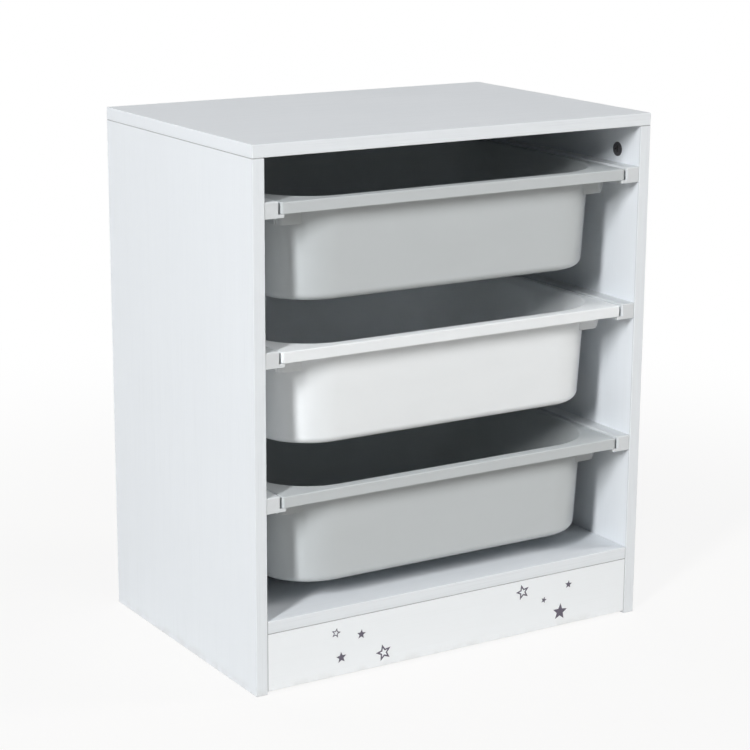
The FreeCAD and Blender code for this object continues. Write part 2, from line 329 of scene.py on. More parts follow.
@dataclass(frozen=True)
class Speckle:
    """Cloudy noise, cut off at two of its levels.

    Density is how many clouds a metre holds along each axis. The level low becomes 0, and high 1.
    """

    density: Numbers
    low: float
    high: float
    detail: float = 2.0
    grit: float = 0.5
    waver: float = 0.0

    def on(self, graph: Graph, shift: Numbers = (0.0, 0.0, 0.0)) -> Field:
        """Add the pattern to a material.

        Args:
            graph: the material's graph.
            shift: how far the pattern is moved, in its own units.

        Returns:
            A field from 0 to 1.
        """
        point = graph.place(self.density, shift)
        return graph.noise(point, self.detail, self.grit, self.waver).rise(self.low, self.high)


@dataclass(frozen=True)
class Melamine:
    """White melamine on board, with a faint pressed wood grain and a glued edge band.

    The seam of the band shows on the face, darkest inside the cabinet, and a thin dark line shows
    where another board meets this one.
    """

    name: str
    grain: Axis
    front: float
    face: Colour = (0.782, 0.815, 0.850)
    band: Colour = (0.815, 0.850, 0.882)
    band_thickness: float = 0.0007
    band_blur_share: float = 0.2
    band_pore_share: float = 0.5
    grain_shade: float = 0.045
    grain_width: float = 0.0011
    grain_length: float = 0.075
    grain_depth: float = 0.00005
    streak_detail: float = 2.5
    streak_grit: float = 0.6
    streak_waver: float = 0.15
    pore_levels: tuple[float, float] = (0.5, 0.72)
    pore_share: float = 0.75
    pore_relief: float = 0.8
    pore_roughness: float = 0.10
    figure_widths: float = 9.0
    figure_lengths: float = 3.0
    figure_levels: tuple[float, float] = (0.35, 0.7)
    figure_relief: float = 0.2
    clouds: Speckle = Speckle((7.0, 7.0, 7.0), 0.3, 0.7, 1.0)
    cloud_share: float = 0.5
    cloud_tone: float = 0.985
    cloud_roughness: float = 0.05
    seam_colour: Colour = (0.42, 0.42, 0.43)
    seam_width: float = 0.0005
    seam_shade: float = 0.30
    seam_relief: float = 0.5
    inner_x: float = 0.0
    inner_blur: tuple[float, float] = (0.0006, 0.0004)
    inner_seam_shade: float = 0.95
    joints: tuple[tuple[Axis, float], ...] = ()
    joint_colour: Colour = (0.26, 0.26, 0.27)
    joint_width: float = 0.0009
    joint_shade: float = 0.75
    grime: Speckle = Speckle((60.0, 60.0, 60.0), 0.4, 0.65, 3.0)
    grime_colour: Colour = (0.50, 0.48, 0.44)
    grime_height: float = 0.012
    grime_share: float = 0.22
    roughness: float = 0.42
    specular: float = 0.25
    seed: float = 0.0

    def streaks(self, graph: Graph, width: float, length: float, levels: tuple[float, float]) -> Field:
        """Noise that is drawn out along the grain.

        Args:
            graph: the material's graph.
            width: the size of a streak across the grain.
            length: its size along the grain.
            levels: the levels of the noise that become 0 and 1.

        Returns:
            A field from 0 to 1.
        """
        density = [1 / width] * 3
        density[self.grain.value] = 1 / length
        pattern = Speckle(tuple(density), *levels, self.streak_detail, self.streak_grit, self.streak_waver)
        return pattern.on(graph, (self.seed, self.seed, self.seed))

    def material(self) -> bpy.types.Material:
        """Build the material.

        Returns:
            The finished material.
        """
        graph = Graph.material(self.name)
        x, y, z = graph.axes()
        pores = self.streaks(graph, self.grain_width, self.grain_length, self.pore_levels)
        figure = self.streaks(graph, self.grain_width * self.figure_widths,
                              self.grain_length * self.figure_lengths, self.figure_levels)
        cloud = self.clouds.on(graph, (self.seed, 0.0, 0.0))
        edge = (y - self.front).rise(self.band_thickness * (1 + self.band_blur_share),
                                     self.band_thickness * (1 - self.band_blur_share))
        seam = abs(y - (self.front + self.band_thickness)).rise(self.seam_width, 0.0)
        inner = abs(x).rise(self.inner_x + self.inner_blur[0], self.inner_x + self.inner_blur[1])
        seam_share = seam * (inner * (self.inner_seam_shade - self.seam_shade) + self.seam_shade)
        grime = z.rise(self.grime_height, 0.0) * self.grime.on(graph)
        shade = toned(self.face, 1 - self.grain_shade)
        colour = graph.blend(pores * self.pore_share + figure * (1 - self.pore_share), self.face, shade)
        colour = graph.blend(cloud * self.cloud_share, colour, toned(self.face, self.cloud_tone))
        colour = graph.blend(edge, colour, graph.blend(pores * self.band_pore_share, self.band, shade))
        colour = graph.blend(seam_share, colour, self.seam_colour)
        for axis, place in self.joints:
            line = abs((x, y, z)[axis.value] - place).rise(self.joint_width, self.joint_width / 3)
            colour = graph.blend(line * self.joint_shade, colour, self.joint_colour)
        colour = graph.blend(grime * self.grime_share, colour, self.grime_colour)
        height = 1 - pores * self.pore_relief - figure * self.figure_relief - seam * self.seam_relief
        return graph.surface(
            {
                "Base Color": colour,
                "Roughness": pores * self.pore_roughness + cloud * self.cloud_roughness + self.roughness,
                "Specular IOR Level": self.specular,
                "Normal": graph.relief(height, self.grain_depth),
            }
        )


@dataclass(frozen=True)
class Hardboard:
    """A thin back board with a white face inside and raw brown fibres outside. The face's colour is partly
    its own off-white and partly painted shade: it is darkened and warmed to stand for the shade deep in the
    bays.
    """

    name: str
    middle: float
    middle_blur: float = 0.0002
    # Painted shade: the face's white is darkened and warmed beyond the board's own off-white, for the shade
    # deep in the bays.
    face: Colour = (0.72, 0.70, 0.655)
    face_fleck_share: float = 0.3
    face_fleck_tone: float = 0.97
    brown: Colour = (0.33, 0.21, 0.12)
    fibres: Speckle = Speckle((420.0, 420.0, 420.0), 0.35, 0.7, 4.0, 0.7, 1.2)
    fibre_tone: float = 1.35
    fibre_depth: float = 0.00012
    fibre_roughness: float = 0.08
    flecks: Speckle = Speckle((90.0, 90.0, 40.0), 0.35, 0.75, 3.0, 0.6)
    fleck_share: float = 0.4
    fleck_tone: float = 0.72
    roughness: float = 0.45
    rear_roughness: float = 0.25
    specular: float = 0.35

    def material(self) -> bpy.types.Material:
        """Build the material.

        Returns:
            The finished material.
        """
        graph = Graph.material(self.name)
        rear = graph.axes()[Axis.Y.value].rise(self.middle - self.middle_blur, self.middle + self.middle_blur)
        fibres = self.fibres.on(graph)
        flecks = self.flecks.on(graph)
        brown = graph.blend(fibres, self.brown, toned(self.brown, self.fibre_tone))
        brown = graph.blend(flecks * self.fleck_share, brown, toned(self.brown, self.fleck_tone))
        # The face colour here carries painted shade: darker and warmer than the board's own white.
        white = graph.blend(flecks * self.face_fleck_share, self.face, toned(self.face, self.face_fleck_tone))
        return graph.surface(
            {
                "Base Color": graph.blend(rear, white, brown),
                "Roughness": rear * self.rear_roughness + fibres * self.fibre_roughness + self.roughness,
                "Specular IOR Level": self.specular,
                "Normal": graph.relief(fibres * rear, self.fibre_depth),
            }
        )


@dataclass(frozen=True)
class MouldedPlastic:
    """Injection-moulded polypropylene: a fine satin skin, faint flow clouds and rubbed scuffs."""

    name: str
    colour: Colour
    rubbed: Colour
    roughness: float = 0.46
    specular: float = 0.35
    cloudy_share: float = 0.0
    cloudy_depth: float = 0.004
    cloudy_spread: Numbers = (1.0, 1.0, 1.0)
    peel: float = 0.00045
    peel_grit: float = 0.55
    peel_depth: float = 0.000012
    peel_roughness: float = 0.08
    flow: Speckle = Speckle((9.0, 14.0, 22.0), 0.3, 0.72, waver=0.8)
    flow_share: float = 0.35
    flow_tone: float = 0.95
    flow_roughness: float = 0.05
    scratches: Speckle = Speckle((140.0, 900.0, 900.0), 0.66, 0.74, grit=0.6, waver=0.4)
    patches: Speckle = Speckle((30.0, 30.0, 30.0), 0.5, 0.7)
    scuff_share: float = 0.35
    scuff_relief: float = 0.6
    scuff_roughness: float = 0.2
    seed: float = 0.0
    seed_shares: Numbers = (1.0, 0.7, 1.3)

    def material(self) -> bpy.types.Material:
        """Build the material.

        Returns:
            The finished material.
        """
        graph = Graph.material(self.name)
        shift = tuple(self.seed * share for share in self.seed_shares)
        skin = graph.noise(graph.place((1 / self.peel,) * 3, shift), roughness=self.peel_grit)
        flow = self.flow.on(graph, shift)
        scuff = self.scratches.on(graph, shift) * self.patches.on(graph, shift) * self.scuff_share
        colour = graph.blend(flow * self.flow_share, self.colour, toned(self.colour, self.flow_tone))
        colour = graph.blend(scuff, colour, self.rubbed)
        uneven = skin * self.peel_roughness + flow * self.flow_roughness + scuff * self.scuff_roughness
        return graph.surface(
            {
                "Base Color": colour,
                "Roughness": uneven + self.roughness,
                "Specular IOR Level": self.specular,
                "Subsurface Weight": self.cloudy_share,
                "Subsurface Radius": self.cloudy_spread,
                "Subsurface Scale": self.cloudy_depth,
                "Normal": graph.relief(skin - scuff * self.scuff_relief, self.peel_depth),
            }
        )


@dataclass(frozen=True)
class CastMetal:
    """Dark die-cast metal with a grainy skin."""

    name: str
    colour: Colour = (0.100, 0.098, 0.105)
    bare: Colour = (0.26, 0.26, 0.27)
    grain: Speckle = Speckle((2600.0, 2600.0, 2600.0), 0.3, 0.7, 3.0, 0.6)
    grain_roughness: float = 0.15
    grain_depth: float = 0.00002
    rub: Speckle = Speckle((500.0, 500.0, 500.0), 0.56, 0.7)
    rub_share: float = 0.35
    rub_metal: float = 0.3
    metal: float = 0.35
    roughness: float = 0.42

    def material(self) -> bpy.types.Material:
        """Build the material.

        Returns:
            The finished material.
        """
        graph = Graph.material(self.name)
        grain = self.grain.on(graph)
        rub = self.rub.on(graph)
        return graph.surface(
            {
                "Base Color": graph.blend(rub * self.rub_share, self.colour, self.bare),
                "Metallic": self.metal + rub * self.rub_metal,
                "Roughness": self.roughness + grain * self.grain_roughness,
                "Normal": graph.relief(grain, self.grain_depth),
            }
        )


@dataclass(frozen=True)
class ZincSteel:
    """Zinc plated steel with a faint turned grain."""

    name: str
    colour: Colour = (0.62, 0.62, 0.60)
    dulled: Colour = (0.54, 0.53, 0.46)
    lines: Speckle = Speckle((6000.0, 900.0, 900.0), 0.3, 0.7)
    line_roughness: float = 0.12
    line_depth: float = 0.000006
    haze: Speckle = Speckle((350.0, 350.0, 350.0), 0.35, 0.7)
    haze_share: float = 0.5
    haze_roughness: float = 0.08
    roughness: float = 0.28

    def material(self) -> bpy.types.Material:
        """Build the material.

        Returns:
            The finished material.
        """
        graph = Graph.material(self.name)
        lines = self.lines.on(graph)
        haze = self.haze.on(graph)
        return graph.surface(
            {
                "Base Color": graph.blend(haze * self.haze_share, self.colour, self.dulled),
                "Metallic": 1.0,
                "Roughness": self.roughness + lines * self.line_roughness + haze * self.haze_roughness,
                "Normal": graph.relief(lines, self.line_depth),
            }
        )


@dataclass(frozen=True)
class Beech:
    """Raw beech with its short dark flecks."""

    name: str
    colour: Colour = (0.62, 0.44, 0.27)
    dark: Colour = (0.42, 0.25, 0.13)
    flecks: Speckle = Speckle((250.0, 2200.0, 2200.0), 0.58, 0.7, grit=0.6)
    fleck_share: float = 0.6
    fleck_depth: float = 0.00003
    rings: Speckle = Speckle((40.0, 500.0, 500.0), 0.3, 0.7)
    ring_share: float = 0.3
    ring_roughness: float = 0.15
    roughness: float = 0.6

    def material(self) -> bpy.types.Material:
        """Build the material.

        Returns:
            The finished material.
        """
        graph = Graph.material(self.name)
        flecks = self.flecks.on(graph)
        rings = self.rings.on(graph)
        colour = graph.blend(rings * self.ring_share, self.colour, self.dark)
        return graph.surface(
            {
                "Base Color": graph.blend(flecks * self.fleck_share, colour, self.dark),
                "Roughness": self.roughness + rings * self.ring_roughness,
                "Normal": graph.relief(1 - flecks, self.fleck_depth),
            }
        )


@dataclass(frozen=True)
class StarInk:
    """Dark violet-grey print with a slightly uneven cover."""

    name: str
    colour: Colour = (0.112, 0.098, 0.135)
    thin: Colour = (0.165, 0.150, 0.190)
    thin_share: float = 0.5
    cover: Speckle = Speckle((900.0, 900.0, 900.0), 0.42, 0.68, 3.0, 0.6)
    cover_roughness: float = 0.1
    cover_depth: float = 0.000008
    roughness: float = 0.40
    specular: float = 0.4

    def material(self) -> bpy.types.Material:
        """Build the material.

        Returns:
            The finished material.
        """
        graph = Graph.material(self.name)
        cover = self.cover.on(graph)
        return graph.surface(
            {
                "Base Color": graph.blend(cover * self.thin_share, self.colour, self.thin),
                "Roughness": self.roughness + cover * self.cover_roughness,
                "Specular IOR Level": self.specular,
                "Normal": graph.relief(cover, self.cover_depth),
            }
        )


@dataclass(frozen=True)
class PaleFloor:
    """A white floor with the object's soft shadow, which fades to plain white further out."""

    name: str
    shown: Colour = (0.72, 0.70, 0.67)
    grain: Speckle = Speckle((12.0, 12.0, 12.0), 0.3, 0.7, 3.0)
    grain_share: float = 0.2
    grain_tone: float = 0.99
    glow: float = 0.88
    fade_start: float = 0.35
    fade_end: float = 1.30

    def material(self) -> bpy.types.Material:
        """Build the material.

        Returns:
            The finished material.
        """
        graph = Graph.material(self.name)
        x, y = graph.axes()[:2]
        away = (x * x + y * y) ** 0.5
        white_share = away.rise(self.fade_start, self.fade_end) * (1 - self.glow) + self.glow
        grain = self.grain.on(graph)
        colour = graph.blend(grain * self.grain_share, self.shown, toned(self.shown, self.grain_tone))
        plain = graph.node("ShaderNodeBsdfDiffuse", inputs={"Color": colour})
        white = graph.node("ShaderNodeEmission", inputs={"Color": WHITE_LIGHT, "Strength": 1.0})
        return graph.close(
            graph.node("ShaderNodeMixShader", inputs={0: graph.seen() * white_share, 1: plain, 2: white})
        )


# Mesh helpers


def finished(
    name: str, mesh: bmesh.types.BMesh, material: bpy.types.Material, smooth: bool = True
) -> bpy.types.Object:
    """Turn a bmesh into an object at the origin.

    Args:
        name: the piece's name.
        mesh: its bmesh, which is freed.
        material: its finish.
        smooth: whether its faces are shaded smoothly.

    Returns:
        The object, linked to the scene.
    """
    data = bpy.data.meshes.new(name)
    for face in mesh.faces:
        face.smooth = smooth
    mesh.to_mesh(data)
    mesh.free()
    data.materials.append(material)
    made = bpy.data.objects.new(name, data)
    bpy.context.scene.collection.objects.link(made)
    return made


def rounded_face(
    mesh: bmesh.types.BMesh, half_x: float, half_y: float, radius: float, height: float, steps: int
) -> bmesh.types.BMFace:
    """A level rectangular face with round corners.

    Args:
        mesh: the bmesh that it is added to.
        half_x: half its width.
        half_y: half its depth.
        radius: the radius of its corners.
        height: how high it lies.
        steps: the straight runs in each corner.

    Returns:
        The face, with its normal up.
    """
    corners = bmesh.ops.create_grid(mesh, x_segments=1, y_segments=1, size=1.0)["verts"]
    bmesh.ops.scale(mesh, vec=(half_x, half_y, 1.0), verts=corners)
    bmesh.ops.translate(mesh, vec=(0.0, 0.0, height), verts=corners)
    made = bmesh.ops.bevel(mesh, geom=corners, offset=radius, offset_type="OFFSET", affect="VERTICES",
                           segments=steps, profile=0.5, material=-1)
    edges = {edge for vert in made["verts"] for edge in vert.link_edges}
    faces = {face for edge in edges for face in edge.link_faces}
    return max(faces, key=lambda face: face.calc_area())


def drawn_in(mesh: bmesh.types.BMesh, face: bmesh.types.BMFace, inset: float, lift: float) -> None:
    """Add one ring round a face: the face shrinks by the inset and moves up by the lift.

    Args:
        mesh: the bmesh that holds the face.
        face: the face, which stays the same.
        inset: how far its outline moves in.
        lift: how far it moves up, or down if negative.
    """
    bmesh.ops.inset_region(mesh, faces=[face], thickness=inset, use_even_offset=True)
    bmesh.ops.translate(mesh, vec=(0.0, 0.0, lift), verts=face.verts)


def quarter_round(radius: float, steps: int) -> list[tuple[float, float]]:
    """Split a quarter round into straight runs.

    Args:
        radius: its radius.
        steps: how many runs it has.

    Returns:
        Two lengths for each run: along the side that starts slowly, and along the one that starts fast.
    """
    turns = [math.pi / 2 / steps * step for step in range(steps + 1)]
    return [
        (radius * (math.cos(start) - math.cos(end)), radius * (math.sin(end) - math.sin(start)))
        for start, end in zip(turns, turns[1:])
    ]


def thickened(
    mesh: bmesh.types.BMesh, faces: list[bmesh.types.BMFace], way: Numbers
) -> list[bmesh.types.BMVert]:
    """Extrude flat faces into a plate.

    Args:
        mesh: the bmesh that holds them.
        faces: the faces.
        way: how far, and in which direction, their copies move.

    Returns:
        The vertices that moved.
    """
    grown = bmesh.ops.extrude_face_region(mesh, geom=faces)["geom"]
    moved = [part for part in grown if isinstance(part, bmesh.types.BMVert)]
    bmesh.ops.translate(mesh, vec=way, verts=moved)
    return moved


# Bins


@dataclass
class StorageBin:
    """A shallow bin in one moulding: a rim with a lip turned down, a tub and two guides."""

    level: str
    slot: str
    finish: MouldedPlastic
    wall: float = 0.002
    lip_height: float = 0.011
    lip_corner: float = 0.003
    arris: float = 0.0012
    arris_steps: int = 4
    side_rim: float = 0.0054
    end_rim: float = 0.0104
    opening_round: float = 0.0021
    opening_steps: int = 5
    tub_corner: float = 0.062
    corner_steps: int = 24
    draft: float = 0.006
    wall_steps: int = 5
    step_drop: float = 0.008
    step_in: float = 0.0008
    floor_round: float = 0.006
    floor_steps: int = 7
    flat_margin: float = 0.0006
    weld: float = 1e-6
    guide_setback: float = 0.023
    guide_drop: float = 0.0155
    guide_inset: float = 0.009
    guide_corner: float = 0.008
    guide_steps: int = 8
    guide_wall: float = 0.0016
    guide_root_share: float = 0.8
    gusset_reach: float = 0.0046
    gusset_foot: float = 0.0008
    gusset_place_share: float = 0.6
    edge_break: float = 0.00035
    edge_segments: int = 2
    sharp_angle: float = 50.0

    def __post_init__(self) -> None:
        """Take the bin's outer sizes from its CAD node."""
        self.node = "bin_" + self.level
        low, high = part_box(self.node)
        self.half_x = (high.x - low.x) / 2
        self.half_y = (high.y - low.y) / 2
        self.height = high.z - low.z
        self.centre = Vector((0.0, (low.y + high.y) / 2, high.z))

    def rim(self, mesh: bmesh.types.BMesh) -> bmesh.types.BMFace:
        """Build the lip and the arris up to the level rim.

        Args:
            mesh: the bmesh that it is added to.

        Returns:
            The level face inside the arris, at height 0.
        """
        foot = rounded_face(mesh, self.half_x, self.half_y, self.lip_corner, -self.lip_height,
                            self.corner_steps)
        raised = bmesh.ops.extrude_face_region(mesh, geom=[foot], use_keep_orig=False)["geom"]
        face = next(part for part in raised if isinstance(part, bmesh.types.BMFace))
        if foot.is_valid:
            bmesh.ops.delete(mesh, geom=[foot], context="FACES_ONLY")
        bmesh.ops.translate(mesh, vec=(0.0, 0.0, self.lip_height - self.arris), verts=face.verts)
        for slow, fast in quarter_round(self.arris, self.arris_steps):
            drawn_in(mesh, face, slow, fast)
        drawn_in(mesh, face, self.flat_margin, 0.0)
        return face

    def tub(self, mesh: bmesh.types.BMesh, mouth: bmesh.types.BMFace) -> None:
        """Draw the mouth down into the tub's inner surface.

        Args:
            mesh: the bmesh that holds the mouth.
            mouth: the face that closes the opening, at height 0.
        """
        drawn_in(mesh, mouth, self.flat_margin, 0.0)
        for slow, fast in quarter_round(self.opening_round, self.opening_steps):
            drawn_in(mesh, mouth, fast, -slow)
        straight = self.height - self.wall - self.opening_round - self.floor_round
        slope = (self.draft - self.step_in) / straight
        band = self.step_drop - self.opening_round
        drawn_in(mesh, mouth, slope * band, -band)
        drawn_in(mesh, mouth, self.step_in, -self.step_in)
        rest = (straight - band - self.step_in) / self.wall_steps
        for _ in range(self.wall_steps):
            drawn_in(mesh, mouth, slope * rest, -rest)
        for slow, fast in quarter_round(self.floor_round, self.floor_steps):
            drawn_in(mesh, mouth, slow, -fast)
        drawn_in(mesh, mouth, self.flat_margin * 2, 0.0)

    def shell(self) -> bpy.types.Object:
        """Build the rim and the tub as one skin, then give it its wall.

        Returns:
            The shell's object.
        """
        mesh = bmesh.new()
        top = self.rim(mesh)
        outline = list(top.edges)
        mouth = rounded_face(mesh, self.half_x - self.side_rim + self.flat_margin,
                             self.half_y - self.end_rim + self.flat_margin,
                             self.tub_corner + self.opening_round + self.flat_margin, 0.0, self.corner_steps)
        opening = list(mouth.edges)
        bmesh.ops.delete(mesh, geom=[top], context="FACES_ONLY")
        bmesh.ops.bridge_loops(mesh, edges=outline + opening)
        self.tub(mesh, mouth)
        bmesh.ops.remove_doubles(mesh, verts=mesh.verts, dist=self.weld)
        bmesh.ops.translate(mesh, vec=self.centre, verts=mesh.verts)
        self.face_upwards(mesh)
        made = finished(self.node + "_shell", mesh, self.finish.material())
        wall = made.modifiers.new("wall", "SOLIDIFY")
        wall.thickness = self.wall
        wall.offset = -1.0
        wall.use_even_offset = True
        self.break_edges(made)
        return made

    @staticmethod
    def face_upwards(mesh: bmesh.types.BMesh) -> None:
        """Turn the open skin so that its rim and its floor face up.

        Args:
            mesh: the skin's bmesh.
        """
        bmesh.ops.recalc_face_normals(mesh, faces=mesh.faces)
        level = max(mesh.faces, key=lambda face: face.calc_area() * abs(face.normal.z))
        if level.normal.z < 0:
            bmesh.ops.reverse_faces(mesh, faces=mesh.faces)

    def break_edges(self, made: bpy.types.Object) -> None:
        """Round the sharp edges of a piece a little and even its shading.

        Args:
            made: the piece.
        """
        rounding = made.modifiers.new("edges", "BEVEL")
        rounding.width = self.edge_break
        rounding.segments = self.edge_segments
        rounding.limit_method = "ANGLE"
        rounding.angle_limit = math.radians(self.sharp_angle)
        shading = made.modifiers.new("shading", "WEIGHTED_NORMAL")
        shading.keep_sharp = True

    def guide_path(self, height: float) -> list[Vector]:
        """The outline of the right guide's outer face, from the tub's front round to its side.

        Args:
            height: how high the outline lies, with the rim's top at 0.

        Returns:
            Its start on the tub, its corner and its end on the tub.
        """
        radius = self.tub_corner + self.wall * self.guide_root_share + self.draft * height / self.height
        centre_x = self.half_x - self.side_rim - self.opening_round - self.tub_corner
        centre_y = -self.half_y + self.end_rim + self.opening_round + self.tub_corner
        outer = self.half_x - self.guide_inset
        front = -self.half_y + self.guide_setback
        start_x = centre_x + math.sqrt(radius**2 - (front - centre_y) ** 2)
        end_y = centre_y - math.sqrt(radius**2 - (outer - centre_x) ** 2)
        return [Vector((x, y, height)) for x, y in ((start_x, front), (outer, front), (outer, end_y))]

    def guide(self, side: int) -> bpy.types.Object:
        """Build the guide pocket and its gusset under one side of the rim.

        Args:
            side: -1 for the left guide and 1 for the right one.

        Returns:
            The guide's object.
        """
        mesh = bmesh.new()
        edges = []
        for height in (-self.wall / 2, -self.lip_height - self.guide_drop):
            points = [mesh.verts.new(point) for point in self.guide_path(height)]
            edges += [mesh.edges.new(pair) for pair in zip(points, points[1:])]
        bmesh.ops.bridge_loops(mesh, edges=edges)
        corner = [edge for edge in mesh.edges if len(edge.link_faces) == 2]
        bmesh.ops.bevel(mesh, geom=corner, offset=self.guide_corner, offset_type="OFFSET", affect="EDGES",
                        segments=self.guide_steps, profile=0.5, material=-1)
        bmesh.ops.recalc_face_normals(mesh, faces=mesh.faces)
        outward = max(mesh.faces, key=lambda face: face.calc_center_median().x)
        if outward.normal.x < 0:
            bmesh.ops.reverse_faces(mesh, faces=mesh.faces)
        bmesh.ops.solidify(mesh, geom=list(mesh.faces), thickness=self.guide_wall)
        self.gusset(mesh)
        if side < 0:
            bmesh.ops.scale(mesh, vec=(-1.0, 1.0, 1.0), verts=mesh.verts)
            bmesh.ops.reverse_faces(mesh, faces=mesh.faces)
        bmesh.ops.translate(mesh, vec=self.centre, verts=mesh.verts)
        hand = "left" if side < 0 else "right"
        made = finished(f"{self.node}_guide_{hand}", mesh, self.finish.material(), False)
        self.break_edges(made)
        return made

    def gusset(self, mesh: bmesh.types.BMesh) -> None:
        """Add the thin plate between the right guide and the lip.

        Args:
            mesh: the guide's bmesh.
        """
        outer = self.half_x - self.guide_inset
        inner = outer - self.guide_wall
        front = -self.half_y + self.guide_setback + self.guide_corner * self.gusset_place_share
        bottom = -self.lip_height - self.guide_drop + self.edge_break
        tip = outer + self.gusset_reach
        lip = self.half_x - self.wall / 2
        points = (
            (inner, bottom),
            (outer + self.gusset_foot, bottom),
            (tip, -self.lip_height),
            (tip, -self.wall * 2),
            (lip, -self.wall),
            (lip, -self.wall / 2),
            (inner, -self.wall / 2),
        )
        plate = mesh.faces.new([mesh.verts.new((x, front, z)) for x, z in points])
        moved = thickened(mesh, [plate], (0.0, self.guide_wall, 0.0))
        linked = {face for vert in moved for face in vert.link_faces} | {plate}
        bmesh.ops.recalc_face_normals(mesh, faces=list(linked))

    def build(self) -> None:
        """Build the bin, seat it on its body and let it stand for its CAD node."""
        for piece in (self.shell(), self.guide(-1), self.guide(1)):
            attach(piece, self.node)
            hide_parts(self.node)
            log.info("built %s", piece.name)


# Print on the plinth


@dataclass(frozen=True)
class Star:
    """One printed star: its place on the plinth, its reach, its turn and its style."""

    x: float
    z: float
    reach: float
    turn: float
    style: StarStyle


@dataclass
class PlinthStars:
    """The stars printed on the plinth's front, to the left and the right of its bare middle."""

    stars: tuple[Star, ...] = (
        Star(-0.1407, 0.0483, 0.0054, -13.0, StarStyle.OUTLINE),
        Star(-0.1115, 0.0415, 0.0052, -5.0, StarStyle.SOLID),
        Star(-0.0853, 0.0169, 0.0092, 12.5, StarStyle.OUTLINE),
        Star(-0.1346, 0.0216, 0.0060, 3.0, StarStyle.SOLID),
        Star(0.0839, 0.0489, 0.0086, 13.5, StarStyle.OUTLINE),
        Star(0.1112, 0.0352, 0.0036, -18.0, StarStyle.SOLID),
        Star(0.1325, 0.0182, 0.0093, -4.5, StarStyle.SOLID),
        Star(0.1428, 0.0466, 0.0045, -5.0, StarStyle.SOLID),
    )
    points: int = 5
    inner_share: float = 0.44
    stroke_share: float = 0.17
    thickness: float = 0.00006

    def outline(self, mesh: bmesh.types.BMesh, star: Star) -> bmesh.types.BMFace:
        """Draw one star's outline as a face.

        Args:
            mesh: the bmesh that it is added to.
            star: the star.

        Returns:
            The star's face, level, with its centre at the origin.
        """
        ring = bmesh.ops.create_circle(mesh, cap_ends=True, segments=self.points * 2,
                                       radius=star.reach)["verts"]
        inner = [vert for index, vert in enumerate(ring) if index % 2]
        bmesh.ops.scale(mesh, vec=(self.inner_share, self.inner_share, 1.0), verts=inner)
        start = math.degrees(math.atan2(ring[0].co.y, ring[0].co.x))
        turn = Matrix.Rotation(math.radians(90.0 + star.turn - start), 4, "Z")
        bmesh.ops.transform(mesh, matrix=turn, verts=ring)
        return ring[0].link_faces[0]

    def print_star(self, mesh: bmesh.types.BMesh, star: Star, front: float) -> None:
        """Add one star's thin layer of ink.

        Args:
            mesh: the bmesh that it is added to.
            star: the star.
            front: where the plinth's front face lies.
        """
        before = set(mesh.verts)
        face = self.outline(mesh, star)
        if star.style is StarStyle.OUTLINE:
            stroke = star.reach * self.stroke_share
            bmesh.ops.inset_region(mesh, faces=[face], thickness=stroke, use_boundary=True,
                                   use_even_offset=True)
            bmesh.ops.delete(mesh, geom=[face], context="FACES")
        drawn = [vert for vert in mesh.verts if vert not in before]
        faces = list({face for vert in drawn for face in vert.link_faces})
        thickened(mesh, faces, (0.0, 0.0, self.thickness))
        layer = [vert for vert in mesh.verts if vert not in before]
        upright = Matrix.Translation((star.x, front, star.z)) @ Matrix.Rotation(math.pi / 2, 4, "X")
        bmesh.ops.transform(mesh, matrix=upright, verts=layer)

    def build(self) -> None:
        """Build the stars as one piece on the plinth."""
        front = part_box("plinth_panel")[0].y
        mesh = bmesh.new()
        for star in self.stars:
            self.print_star(mesh, star, front)
        bmesh.ops.recalc_face_normals(mesh, faces=mesh.faces)
        piece = finished("plinth_stars", mesh, StarInk("star_ink").material(), False)
        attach(piece, "cabinet")
        log.info("built %s with %d stars", piece.name, len(self.stars))


# Cabinet and runners


